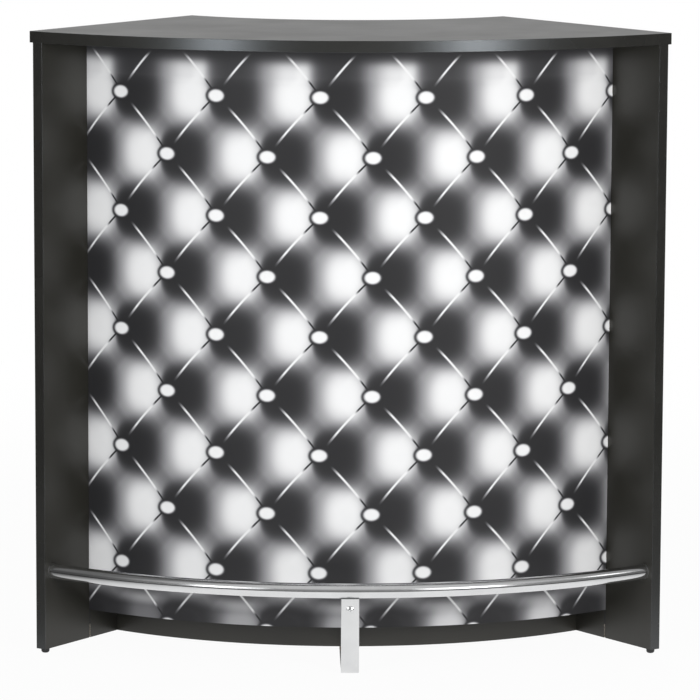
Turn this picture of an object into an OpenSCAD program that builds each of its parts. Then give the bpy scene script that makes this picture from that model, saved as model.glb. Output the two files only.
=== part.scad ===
// Curved bar counter: two radial side panels carry an arc-shaped worktop, three arc-shaped
// shelves and a thin bent front panel, with a tubular foot rail on a bent flat-bar support.
// Every arc shares one centre behind the counter. Front is -Y, up is +Z, units are millimetres.
// The origin is on the floor, in the middle of the counter's width and depth.

/* [Overall] */
// Height of the worktop's upper face above the floor
counter_h = 1050; // [900:1:1150]
// Radius of the worktop's front edge
front_r = 862; // [820:1:920]
// Depth of the worktop, from its front edge to its back edge
worktop_d = 440; // [400:1:480]
// Half of the angle between the two side panels, in degrees
half_angle = 36.4; // [33:0.1:40]

/* [Boards] */
// Thickness of the worktop
worktop_t = 19; // [18:1:28]
// Thickness of each side panel
side_t = 19; // [18:1:25]
// Thickness of each shelf
shelf_t = 19; // [18:1:25]
// Thickness of the bands glued on the board edges
band_t = 1; // [0.8:0.1:2]
// How far the worktop's ends stand out past the side panels
end_overhang = 6; // [2:1:20]
// How far a side panel's front edge lies behind the worktop's corner
side_inset_front = 1; // [0:0.5:10]
// How far a side panel's rear edge lies in front of the worktop's back edge
side_inset_rear = 8; // [2:1:20]

/* [Front panel] */
// Distance from the worktop's front edge back to the bent panel's front face
panel_setback = 119.5; // [100:0.5:140]
// Thickness of the bent panel
panel_t = 3; // [3:0.1:4]
// Height of the bent panel's lower edge above the floor
panel_z = 57; // [50:1:70]
// Depth of the grooves that hold the bent panel
groove_d = 6; // [4:0.5:8]
// Length of the wedges that hold the panel up in its grooves
wedge_l = 25; // [12:1:30]

/* [Shelves] */
// Height of the middle shelf's upper face above the floor
middle_z = 400; // [320:1:460]
// Height of the upper shelf's upper face above the floor
upper_z = 715; // [640:1:760]
// How far the shelves' rear edges lie in front of the side panels' rear edges
shelf_inset = 8; // [4:1:20]
// Gap on each side of the loose upper shelf
loose_gap = 1; // [0.5:0.1:2]

/* [Plinth] */
// Distance from the bent panel's front face back to the plinth's front face
plinth_setback = 76.5; // [50:0.5:100]
// Thickness of the bent plinth
plinth_t = 8; // [6:1:12]
// Depth of the grooves that hold the plinth
plinth_groove_d = 5; // [4:0.5:7]
// Width of the block behind the plinth
block_w = 60; // [50:1:80]
// Depth of the block behind the plinth
block_d = 42; // [36:1:60]

/* [Foot rail] */
// Distance from the worktop's front edge back to the rail's centre line
rail_setback = 22; // [20:1:40]
// Height of the rail's centre line above the floor
rail_z = 140; // [120:1:200]
// Outside diameter of the rail tube
rail_d = 25; // [22:0.5:30]
// Wall thickness of the rail tube
rail_wall = 1.2; // [1:0.1:2]
// Thickness of the flange on the plugs at the rail's ends
plug_flange_t = 2; // [1:0.5:4]
// Length of the plugs inside the tube
plug_l = 16; // [12:1:25]
// Depth of the plugs' screws in the side panels
plug_bite = 12; // [10:1:14]

/* [Rail support] */
// Width of the support's flat bar
strip_w = 30; // [25:1:40]
// Thickness of the support's flat bar
strip_t = 4; // [3:0.5:5]
// Inside radius of the support's bend
bend_r = 9; // [3:0.5:12]
// Distance from the rail's underside down to the support screw
screw_drop = 18.5; // [14:0.5:24]
// Length of the tab under the rail
tab_l = 32; // [28:1:45]

/* [Glides] */
// Height of the glides under the side panels
glide_h = 8; // [6:0.5:12]
// Diameter of the glides
glide_d = 14; // [12:0.5:18]
// Distance from a side panel's end to the centre of a glide
glide_inset = 12; // [10:1:30]

/* [Fittings] */
// Diameter of the wooden dowels
dowel_d = 8; // [6:1:8]
// Length of the wooden dowels
dowel_l = 30; // [25:1:35]
// Depth of the wooden dowels in the face of a board
dowel_face_l = 10; // [8:0.5:12]
// Diameter of the cam locks
cam_d = 15; // [12:0.5:16]
// How far a cam lock reaches past the middle of its board
cam_past = 2.9; // [2.5:0.1:4]
// Distance from a board's end to the centre of a cam lock
cam_reach = 34; // [30:1:38]
// Diameter of the cam bolts' threaded end
bolt_thread_d = 5; // [4:0.5:6]
// Length of the cam bolts' threaded end
bolt_thread_l = 11; // [9:0.5:12]
// Diameter of the cam bolts' shank
bolt_shank_d = 6; // [5:0.5:7]
// Diameter of the pins that carry the upper shelf
pin_d = 5; // [4:0.5:6]
// How far a shelf pin goes into the side panel, and how far it stands out
pin_l = 8; // [6:0.5:10]
// Distance between the shelf pin holes
pin_pitch = 32; // [25:1:40]

/* [Hidden] */

// Smoothness of the large arcs and of the small round parts
arc_fn = 288;
small_fn = 40;
$fn = small_fn;

// Gap round a loose fit, a snug fit and the overlap that makes a cut clean
fit_gap = 0.3;
snug_gap = 0.1;
cut = 1;

// Colours
melamine = [0.20, 0.20, 0.19];
band_black = [0.17, 0.17, 0.17];
print_grey = [0.72, 0.72, 0.74];
wood = [0.80, 0.66, 0.46];
chrome = [0.82, 0.83, 0.85];
zinc = [0.68, 0.69, 0.71];
plastic_black = [0.12, 0.12, 0.12];

// Heights
under_top = counter_h - worktop_t;
side_z = glide_h;
bottom_z = panel_z;
middle_bottom_z = middle_z - shelf_t;
upper_bottom_z = upper_z - shelf_t;
fixed_shelf_z = [bottom_z, middle_bottom_z];
groove_play = 0.25;
panel_top = under_top + groove_d - 2 * fit_gap;

// Radii
back_r = front_r - worktop_d;
panel_r = front_r - panel_setback;
plinth_r = panel_r - plinth_setback;
rail_r = front_r - rail_setback;
panel_back_r = panel_r - panel_t;
side_front = front_r - side_inset_front;
side_back = back_r + side_inset_rear;
shelf_front_r = panel_back_r - fit_gap;
shelf_back_r = side_back + shelf_inset;
plinth_back_r = plinth_r - plinth_t;
end_o = side_t + end_overhang;

// The arcs' centre lies behind the counter, so that the origin is in the middle of the depth.
// The worktop's back corners reach furthest back.
back_corner = sqrt(back_r * back_r - end_o * end_o) * cos(half_angle) - end_o * sin(half_angle);
arc_y = (front_r + back_corner) / 2;

// Places of the fittings along a side panel, measured from the arcs' centre
fitting_edge = 48;
cam_back = shelf_back_r + fitting_edge;
cam_front = panel_back_r - fitting_edge;
shelf_mid_s = (cam_back + cam_front) / 2;
shelf_dowel_step = 48;
shelf_dowels = [shelf_mid_s - shelf_dowel_step, shelf_mid_s + shelf_dowel_step];
top_dowels = [cam_back - fitting_edge / 2, shelf_mid_s, (panel_r + side_front) / 2];
pin_s = [cam_back, cam_front];
pin_holes = [-2, -1, 0, 1];
pin_rim = 1.5;
pin_z = upper_bottom_z - pin_d / 2;
pin_flange_d = pin_d + 2 * pin_rim;
pin_flange_t = 1;

// Dowels and cam bolts
dowel_edge_l = dowel_l - dowel_face_l;
dowel_end_gap = 1;
bolt_bore_d = bolt_shank_d + 2;
bolt_head_d = bolt_shank_d + 1;
bolt_waist_d = bolt_shank_d - 2;
bolt_neck_l = 5;
cam_end_gap = 0.6;

// The rail's tab and support, seen from the side
rail_bore_d = rail_d - 2 * rail_wall;
rail_under = rail_z - rail_d / 2;
rail_y = arc_y - rail_r;
tab_edge = 2;
tab_w = strip_w - 2 * tab_edge;
tab_front_y = rail_y - strip_t / 2;
strip_front_y = tab_front_y - strip_t;
strip_top = rail_under - fit_gap;
bend_out_r = bend_r + strip_t;
strip_ease = 0.3 * strip_t;
block_front_y = arc_y - sqrt(plinth_back_r * plinth_back_r - block_w * block_w / 4);
block_back_y = block_front_y + block_d;
foot_screw_y = block_back_y - 3 * strip_w / 4;
pad_edge = 4;
block_pad_w = strip_w - 2 * pad_edge;
support_screw_z = rail_under - screw_drop;

// Screws
m6_d = 6;
m6_head_d = 12;
m6_head_h = 3.6;
m6_nut_w = 10;
m6_nut_h = 5;
m6_tip = 3;
wood_screw_d = 4;
wood_screw_head_d = 8;
wood_screw_head_h = 2.6;
block_bite = 32;
plug_screw_l = plug_l + plug_flange_t + plug_bite;
foot_screw_l = strip_t + block_bite;
recess_w = 1.2;
recess_d = 1.6;
nail_d = 2;
nail_l = 16;

// Wedge of the plan between the two side panels' inner faces, moved outwards by o at each side
module wedge_2d(o) {
    reach = 2 * front_r;
    apex = o / sin(half_angle);
    far_y = apex - reach * cos(half_angle);
    far_x = reach * sin(half_angle);
    polygon([[0, apex], [far_x, far_y], [-far_x, far_y]]);
}

// Plan of a board between two arcs, with straight ends parallel to the side panels
module sector_2d(r_out, r_in, o) {
    intersection() {
        difference() {
            circle(r_out, $fn = arc_fn);
            circle(r_in, $fn = arc_fn);
        }
        wedge_2d(o);
    }
}

// Arc-shaped board with its lower face at z
module arc_board(r_out, r_in, o, z, t) {
    translate([0, arc_y, z]) linear_extrude(t) sector_2d(r_out, r_in, o);
}

// Places children on a side panel: X runs forward from the arcs' centre along the inner face,
// Y points outwards through the thickness, and Z is up
module on_side(side) {
    if (side > 0) translate([0, arc_y, 0]) rotate([0, 0, half_angle - 90]) children();
    else mirror([1, 0, 0]) on_side(1) children();
}

module on_both_sides() {
    for (side = [-1, 1]) on_side(side) children();
}

// Cylinder along Y, from y0 to y1
module rod_y(d, y0, y1) {
    translate([0, y0, 0]) rotate([-90, 0, 0]) cylinder(d = d, h = y1 - y0);
}

// Rectangle t wide along X and w along Y, with its two outer corners rounded to radius r
module eased_2d(t, w, r) {
    square([t - r, w]);
    translate([0, r]) square([t, w - 2 * r]);
    translate([t - r, r]) circle(r);
    translate([t - r, w - r]) circle(r);
}

// Edge band in section: t thick and w wide
module band_2d(t, w) {
    eased_2d(t, w, t / 2);
}

// Flat bar in section: its width along X, its thickness along Y, with all edges eased
module strip_2d() {
    inner_w = strip_w - 2 * strip_ease;
    translate([-inner_w / 2, 0]) square([inner_w, strip_t]);
    translate([-strip_w / 2, strip_ease]) square([strip_w, strip_t - 2 * strip_ease]);
    for (x = [-inner_w / 2, inner_w / 2], y = [strip_ease, strip_t - strip_ease])
        translate([x, y]) circle(strip_ease);
}

// Upright band on a side panel's edge
module side_band(x, turned) {
    translate([x, turned ? side_t : 0, side_z]) rotate([0, 0, turned ? 180 : 0])
        linear_extrude(under_top - side_z) band_2d(band_t, side_t);
}

// Fittings of a shelf's end, in the side panel's own axes, with the shelf's lower face at z
module shelf_cams(z) {
    for (s = [cam_back, cam_front]) translate([s, -cam_reach, z]) children();
}

// Cam lock in the lower face of a board, which lies at z = 0
module cam_lock(board_t) {
    difference() {
        cylinder(d = cam_d, h = board_t / 2 + cam_past);
        // Pocket and slot for the bolt's head and neck, open towards the board's end
        translate([0, 0, board_t / 2]) {
            rod_y(bolt_head_d + 2 * fit_gap, -bolt_head_d / 2, bolt_neck_l);
            rod_y(bolt_shank_d, 0, cam_d);
        }
        // Cross recess for the screwdriver
        for (a = [0, 90]) rotate([0, 0, a]) translate([-cam_d / 4, -recess_w / 2, -cut])
            cube([cam_d / 2, recess_w, cut + recess_d]);
    }
}

// Cam bolt along Y: its thread starts at y = 0 and its head sits in the cam
module cam_bolt() {
    rod_y(bolt_thread_d, -cut, bolt_thread_l);
    rod_y(bolt_head_d, -bolt_neck_l, 0);
    rod_y(bolt_waist_d, -cam_reach, 0);
    translate([0, -cam_reach, 0]) sphere(d = bolt_head_d);
}

// Bores for one cam lock and its bolt in the board that the lock sits in
module cam_bores(board_t) {
    translate([0, 0, -cut])
        cylinder(d = cam_d + 2 * snug_gap, h = board_t / 2 + cam_past + cam_end_gap + cut);
    translate([0, 0, board_t / 2]) rod_y(bolt_bore_d, 0, cam_reach + cut);
}

// Turns a cam lock's axes so that it lies in a side panel's inner face and opens upwards
module in_panel_top(s) {
    translate([s, 0, under_top - cam_reach]) rotate([-90, 0, 0]) mirror([0, 1, 0]) children();
}

// Everything drilled into a shelf's two ends
module shelf_end_bores() {
    on_both_sides() {
        shelf_cams(0) cam_bores(shelf_t);
        for (s = shelf_dowels) translate([s, 0, shelf_t / 2])
            rod_y(dowel_d + 2 * snug_gap, -dowel_edge_l - dowel_end_gap, cut);
    }
}

module side_panel_solid() {
    difference() {
        translate([side_back + band_t, 0, side_z])
            cube([side_front - side_back - 2 * band_t, side_t, under_top - side_z]);
        // Groove for the bent front panel, open at both ends
        translate([panel_back_r - groove_play, -cut, side_z - cut])
            cube([panel_t + 2 * groove_play, groove_d + cut, counter_h]);
        // Groove for the plinth
        translate([plinth_back_r - groove_play, -cut, side_z - cut])
            cube([plinth_t + 2 * groove_play, plinth_groove_d + cut, bottom_z - side_z + cut]);
        // Bores for the fixed shelves
        for (z = fixed_shelf_z) {
            shelf_cams(z + shelf_t / 2)
                rod_y(bolt_thread_d + 2 * snug_gap, cam_reach - cut, cam_reach + bolt_thread_l + cut);
            for (s = shelf_dowels) translate([s, 0, z + shelf_t / 2])
                rod_y(dowel_d + 2 * snug_gap, -cut, dowel_face_l + dowel_end_gap);
        }
        // Rows of holes for the shelf pins
        for (s = pin_s, k = pin_holes) translate([s, 0, pin_z + k * pin_pitch])
            rod_y(pin_d + 2 * snug_gap, -cut, pin_l + cut);
        // Bores for the fittings under the worktop
        for (s = [cam_back, cam_front]) in_panel_top(s) cam_bores(side_t);
        for (s = top_dowels) translate([s, side_t / 2, under_top - dowel_edge_l - dowel_end_gap])
            cylinder(d = dowel_d + 2 * snug_gap, h = dowel_edge_l + dowel_end_gap + cut);
        // Pilot holes for the rail plug's screw and the glides' nails
        translate([rail_r, 0, rail_z])
            rod_y(wood_screw_d + 2 * snug_gap, -cut, plug_bite + cut);
        for (s = [side_back + glide_inset, side_front - glide_inset])
            translate([s, side_t / 2, side_z - cut])
            cylinder(d = nail_d + 2 * snug_gap, h = nail_l - glide_h / 2 + 2 * cut);
    }
}

module side_panel_left() {
    color(melamine) on_side(-1) side_panel_solid();
}

module side_panel_right() {
    color(melamine) on_side(1) side_panel_solid();
}

module side_front_bands() {
    color(band_black) on_both_sides() side_band(side_front - band_t, false);
}

module side_rear_bands() {
    color(band_black) on_both_sides() side_band(side_back + band_t, true);
}

module worktop() {
    color(melamine) difference() {
        arc_board(front_r - band_t, back_r + band_t, end_o - band_t, under_top, worktop_t);
        // Groove for the upper edge of the bent panel
        arc_board(panel_r + groove_play, panel_back_r - groove_play, groove_d,
            under_top - cut, groove_d + cut);
        on_both_sides() {
            for (s = top_dowels) translate([s, side_t / 2, under_top - cut])
                cylinder(d = dowel_d + 2 * snug_gap, h = dowel_face_l + dowel_end_gap + cut);
            for (s = [cam_back, cam_front]) translate([s, side_t / 2, under_top - cut])
                cylinder(d = bolt_thread_d + 2 * snug_gap, h = bolt_thread_l + 2 * cut);
        }
    }
}

module worktop_front_band() {
    color(band_black) translate([0, arc_y, under_top]) intersection() {
        rotate([0, 0, 180]) rotate_extrude($fn = arc_fn)
            translate([front_r - band_t, 0]) band_2d(band_t, worktop_t);
        translate([0, 0, -cut]) linear_extrude(worktop_t + 2 * cut) wedge_2d(end_o);
    }
}

module worktop_rear_band() {
    color(band_black) translate([0, arc_y, under_top]) linear_extrude(worktop_t)
        sector_2d(back_r + band_t, back_r, end_o);
}

module worktop_end_bands() {
    front_end = sqrt(pow(front_r - band_t, 2) - end_o * end_o);
    rear_end = sqrt(pow(back_r + band_t, 2) - pow(end_o - band_t, 2));
    color(band_black) on_both_sides() translate([0, end_o - band_t, under_top])
        rotate([90, 0, 90]) translate([0, 0, rear_end])
        linear_extrude(front_end - rear_end) band_2d(band_t, worktop_t);
}

module front_panel() {
    color(print_grey) arc_board(panel_r, panel_back_r, groove_d - fit_gap, panel_z,
        panel_top - panel_z);
}

// Tapered plastic wedges pressed into the grooves under the bent panel's lower corners
module groove_wedges() {
    taper = groove_play - snug_gap;
    color(plastic_black) on_both_sides() translate([0, 0, panel_z - wedge_l])
        rotate([90, 0, 0]) translate([0, 0, -(groove_d - fit_gap)])
        linear_extrude(groove_d - fit_gap)
        polygon([[panel_back_r - taper, 0], [panel_r + taper, 0],
            [panel_r, wedge_l], [panel_back_r, wedge_l]]);
}

module plinth() {
    color(melamine) arc_board(plinth_r, plinth_back_r, plinth_groove_d - fit_gap, side_z,
        bottom_z - side_z);
}

module plinth_block() {
    color(wood) difference() {
        union() {
            translate([-block_w / 2, block_front_y, side_z])
                cube([block_w, block_d, bottom_z - side_z]);
            // Pad on the support's foot, narrower than the flat bar in front of it
            translate([-block_pad_w / 2, block_front_y, strip_t])
                cube([block_pad_w, block_d, side_z + cut - strip_t]);
        }
        translate([0, foot_screw_y, 0])
            cylinder(d = wood_screw_d + 2 * snug_gap, h = foot_screw_l + cut);
    }
}

module bottom_shelf() {
    color(melamine) difference() {
        arc_board(shelf_front_r, shelf_back_r + band_t, 0, bottom_z, shelf_t);
        translate([0, 0, bottom_z]) shelf_end_bores();
    }
}

module middle_shelf() {
    color(melamine) difference() {
        arc_board(shelf_front_r, shelf_back_r + band_t, 0, middle_bottom_z, shelf_t);
        translate([0, 0, middle_bottom_z]) shelf_end_bores();
    }
}

module upper_shelf() {
    color(melamine) arc_board(shelf_front_r - loose_gap, shelf_back_r + band_t, -loose_gap,
        upper_bottom_z, shelf_t);
}

module shelf_bands() {
    color(band_black) {
        for (z = fixed_shelf_z)
            arc_board(shelf_back_r + band_t, shelf_back_r, 0, z, shelf_t);
        arc_board(shelf_back_r + band_t, shelf_back_r, -loose_gap, upper_bottom_z, shelf_t);
    }
}

module shelf_pins() {
    color(zinc) on_both_sides() for (s = pin_s) translate([s, 0, pin_z]) {
        rod_y(pin_d, -pin_l, pin_l);
        intersection() {
            rod_y(pin_flange_d, -pin_flange_t, 0);
            translate([-pin_flange_d, -pin_flange_d, -pin_flange_d])
                cube([2 * pin_flange_d, 2 * pin_flange_d, pin_flange_d + pin_d / 2]);
        }
    }
}

module foot_rail() {
    color(chrome) difference() {
        union() {
            translate([0, arc_y, rail_z]) intersection() {
                rotate([0, 0, 180]) rotate_extrude($fn = arc_fn) translate([rail_r, 0])
                    circle(d = rail_d);
                translate([0, 0, -rail_d]) linear_extrude(2 * rail_d) wedge_2d(-plug_flange_t);
            }
            // Tab welded under the tube
            translate([-tab_w / 2, tab_front_y, rail_under - tab_l])
                cube([tab_w, strip_t, tab_l + rail_d / 4]);
        }
        translate([0, arc_y, rail_z]) rotate([0, 0, 180]) rotate_extrude($fn = arc_fn)
            translate([rail_r, 0]) circle(d = rail_bore_d);
        translate([0, rail_y, support_screw_z])
            rod_y(m6_d + 2 * snug_gap, -strip_t, strip_t);
    }
}

module rail_plugs() {
    plug_d = rail_bore_d - 2 * fit_gap;
    color(zinc) on_both_sides() translate([rail_r, 0, rail_z]) difference() {
        union() {
            rod_y(rail_d, -plug_flange_t, 0);
            rod_y(plug_d, -plug_flange_t - plug_l, 0);
        }
        rod_y(wood_screw_d + 2 * snug_gap, -plug_flange_t - plug_l - cut, cut);
        translate([0, -plug_flange_t - plug_l, 0]) rotate([-90, 0, 0])
            cylinder(d1 = wood_screw_head_d + 2 * snug_gap, d2 = wood_screw_d,
                h = wood_screw_head_h);
    }
}

// Countersunk wood screw along -Z, with the flat of its head at z = 0
module wood_screw(l) {
    difference() {
        union() {
            translate([0, 0, -wood_screw_head_h])
                cylinder(d1 = wood_screw_d, d2 = wood_screw_head_d, h = wood_screw_head_h);
            translate([0, 0, -l]) cylinder(d = wood_screw_d, h = l - wood_screw_head_h / 2);
        }
        cross_recess(wood_screw_head_d / 2);
    }
}

// Cross recess cut down from z = 0, as long as reach in both directions
module cross_recess(reach) {
    for (a = [0, 90]) rotate([0, 0, a]) translate([-reach / 2, -recess_w / 2, -recess_d])
        cube([reach, recess_w, recess_d + cut]);
}

module plug_screws() {
    color(zinc) on_both_sides() translate([rail_r, -plug_flange_t - plug_l, rail_z])
        rotate([90, 0, 0]) wood_screw(plug_screw_l);
}

module rail_support() {
    color(chrome) difference() {
        union() {
            // Upright leg
            translate([0, strip_front_y, bend_out_r]) linear_extrude(strip_top - bend_out_r)
                strip_2d();
            // Bend
            translate([0, strip_front_y + bend_out_r, bend_out_r])
                rotate([90, 0, 90]) rotate([0, 0, 180]) rotate_extrude(angle = 90)
                translate([bend_out_r, 0]) rotate([0, 0, 90]) strip_2d();
            // Foot on the floor, with a round end
            translate([0, foot_screw_y, 0]) rotate([90, 0, 0])
                linear_extrude(foot_screw_y - strip_front_y - bend_out_r) strip_2d();
            translate([0, foot_screw_y, 0]) rotate_extrude()
                eased_2d(strip_w / 2, strip_t, strip_ease);
        }
        translate([0, strip_front_y + strip_t / 2, support_screw_z])
            rod_y(m6_d + 2 * snug_gap, -strip_t, strip_t);
        // Countersunk hole in the foot, open downwards
        translate([0, foot_screw_y, -cut])
            cylinder(d = wood_screw_d + 2 * snug_gap, h = strip_t + 2 * cut);
        translate([0, foot_screw_y, 0]) cylinder(d1 = wood_screw_head_d + 2 * snug_gap,
            d2 = wood_screw_d, h = wood_screw_head_h + snug_gap);
    }
}

module support_screw() {
    color(chrome) translate([0, strip_front_y, support_screw_z]) difference() {
        union() {
            rod_y(m6_d, -cut, 2 * strip_t + m6_nut_h + m6_tip);
            // Low domed head
            intersection() {
                rod_y(m6_head_d, -m6_head_h, 0);
                translate([0, m6_head_d - m6_head_h, 0]) sphere(r = m6_head_d);
            }
        }
        translate([0, -m6_head_h, 0]) rotate([90, 0, 0]) cross_recess(m6_head_d / 2);
    }
}

module support_nut() {
    color(zinc) translate([0, tab_front_y + strip_t, support_screw_z]) difference() {
        rotate([-90, 0, 0]) cylinder(d = m6_nut_w / cos(30), h = m6_nut_h, $fn = 6);
        rod_y(m6_d + 2 * snug_gap, -cut, m6_nut_h + cut);
    }
}

module foot_screw() {
    color(zinc) translate([0, foot_screw_y, snug_gap]) mirror([0, 0, 1]) wood_screw(foot_screw_l);
}

module glide_spots() {
    on_both_sides() for (s = [side_back + glide_inset, side_front - glide_inset])
        translate([s, side_t / 2, 0]) children();
}

module glides() {
    round_r = glide_h / 2;
    color(plastic_black) glide_spots() difference() {
        // Tread with a rounded lower edge
        rotate_extrude() {
            square([glide_d / 2 - round_r, glide_h]);
            translate([0, round_r]) square([glide_d / 2, glide_h - round_r]);
            intersection() {
                translate([glide_d / 2 - round_r, round_r]) circle(round_r);
                square([glide_d / 2, glide_h]);
            }
        }
        translate([0, 0, glide_h / 2]) cylinder(d = nail_d + 2 * snug_gap, h = glide_h);
    }
}

module glide_nails() {
    color(zinc) glide_spots() translate([0, 0, glide_h / 2]) cylinder(d = nail_d, h = nail_l);
}

module cam_locks() {
    color(zinc) on_both_sides() {
        for (z = fixed_shelf_z) shelf_cams(z) cam_lock(shelf_t);
        for (s = [cam_back, cam_front]) in_panel_top(s) cam_lock(side_t);
    }
}

module cam_bolts() {
    color(zinc) on_both_sides() {
        for (z = fixed_shelf_z)
            for (s = [cam_back, cam_front]) translate([s, 0, z + shelf_t / 2]) cam_bolt();
        for (s = [cam_back, cam_front]) translate([s, side_t / 2, under_top])
            rotate([90, 0, 0]) cam_bolt();
    }
}

module dowels() {
    color(wood) on_both_sides() {
        for (z = fixed_shelf_z, s = shelf_dowels)
            translate([s, 0, z + shelf_t / 2]) rod_y(dowel_d, -dowel_edge_l, dowel_face_l);
        for (s = top_dowels) translate([s, side_t / 2, under_top - dowel_edge_l])
            cylinder(d = dowel_d, h = dowel_l);
    }
}

worktop();
worktop_front_band();
worktop_end_bands();
worktop_rear_band();
side_panel_left();
side_panel_right();
side_front_bands();
side_rear_bands();
front_panel();
groove_wedges();
plinth();
plinth_block();
bottom_shelf();
middle_shelf();
upper_shelf();
shelf_bands();
shelf_pins();
foot_rail();
rail_plugs();
plug_screws();
rail_support();
support_screw();
support_nut();
foot_screw();
glides();
glide_nails();
cam_locks();
cam_bolts();
dowels();
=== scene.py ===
import math

import bmesh
import bpy
from mathutils import Matrix, Vector


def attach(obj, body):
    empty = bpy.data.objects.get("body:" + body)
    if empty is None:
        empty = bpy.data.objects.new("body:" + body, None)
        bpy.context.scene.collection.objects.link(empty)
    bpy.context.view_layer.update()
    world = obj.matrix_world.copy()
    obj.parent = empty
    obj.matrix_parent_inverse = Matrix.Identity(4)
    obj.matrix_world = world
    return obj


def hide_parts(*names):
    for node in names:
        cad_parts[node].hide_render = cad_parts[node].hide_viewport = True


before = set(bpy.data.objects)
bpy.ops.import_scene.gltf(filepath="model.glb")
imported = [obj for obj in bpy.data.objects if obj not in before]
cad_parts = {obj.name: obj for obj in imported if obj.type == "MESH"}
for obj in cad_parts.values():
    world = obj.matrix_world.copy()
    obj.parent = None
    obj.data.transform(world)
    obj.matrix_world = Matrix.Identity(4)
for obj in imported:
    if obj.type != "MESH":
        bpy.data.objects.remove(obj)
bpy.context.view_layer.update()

# Sizes of the counter, in metres. The origin is on the floor and the front is -Y. Every arc is
# about one centre behind the counter, at x = 0 and y = ARC_Y: names that end in _R are radii about
# it, in _T thicknesses, in _Z heights.
FRONT_R = 0.862  # worktop's front
BACK_R = 0.422  # worktop's back
PANEL_R = 0.7425  # printed face of the front panel
RAIL_R = 0.840
PLINTH_BACK_R = 0.658
HALF_ANGLE = math.radians(36.4)  # from the middle to a side panel's inner face
BOARD_T = 0.019
SIDE_T = 0.019
SKIN_T = 0.0003  # decor film on the boards, and ink on the front panel
OVERHANG = 0.006  # of the worktop outside the side panels
WORKTOP_END = SIDE_T + OVERHANG  # from a side panel's inner face
# From the arcs' centre forward to the worktop's back corners. The origin is midway between these
# and the worktop's front.
BACK_CORNER = (math.sqrt(BACK_R**2 - WORKTOP_END**2) * math.cos(HALF_ANGLE)
               - WORKTOP_END * math.sin(HALF_ANGLE))
ARC_Y = (FRONT_R + BACK_CORNER) / 2
TOP_Z = 1.050
UNDER_TOP_Z = TOP_Z - BOARD_T
SHELF_Z = {"bottom_shelf": 0.057, "middle_shelf": 0.381, "upper_shelf": 0.696}
FIXED_SHELVES = ("bottom_shelf", "middle_shelf")

RAIL_Z = 0.140
RAIL_D = 0.025
RAIL_PLUG_T = 0.018
STRIP_T = 0.004  # flat bar of the support, and of the rail's tab behind it
STRIP_FRONT_Y = ARC_Y - RAIL_R - 1.5 * STRIP_T
TAB_BACK_Y = ARC_Y - RAIL_R + STRIP_T / 2
BEAD_Z = RAIL_Z - math.sqrt((RAIL_D / 2) ** 2 - (STRIP_T / 2) ** 2)
SUPPORT_SCREW_Z = 0.109
BLOCK_W = 0.060  # softwood block behind the plinth
FOOT_SCREW_IN = 0.0195  # from the block's front
FOOT_SCREW_Y = ARC_Y - math.sqrt(PLINTH_BACK_R**2 - (BLOCK_W / 2) ** 2) + FOOT_SCREW_IN
FOOT_SCREW_Z = 0.0001  # its head, in the underside of the support's foot
CAM_S = (0.486, 0.6915)  # cam locks and shelf pins, forward from the arcs' centre
CAM_REACH = 0.034  # from a cam lock's middle to the board that its bolt is in
PIN_Z = 0.6935


def linear(value):
    """One sRGB level, 0 to 255, as a linear value."""
    v = value / 255
    return v / 12.92 if v <= 0.04045 else ((v + 0.055) / 1.055) ** 2.4


def rgb(r, g, b):
    """An sRGB colour, 0 to 255, as a linear colour with alpha."""
    return (linear(r), linear(g), linear(b), 1.0)


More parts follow.
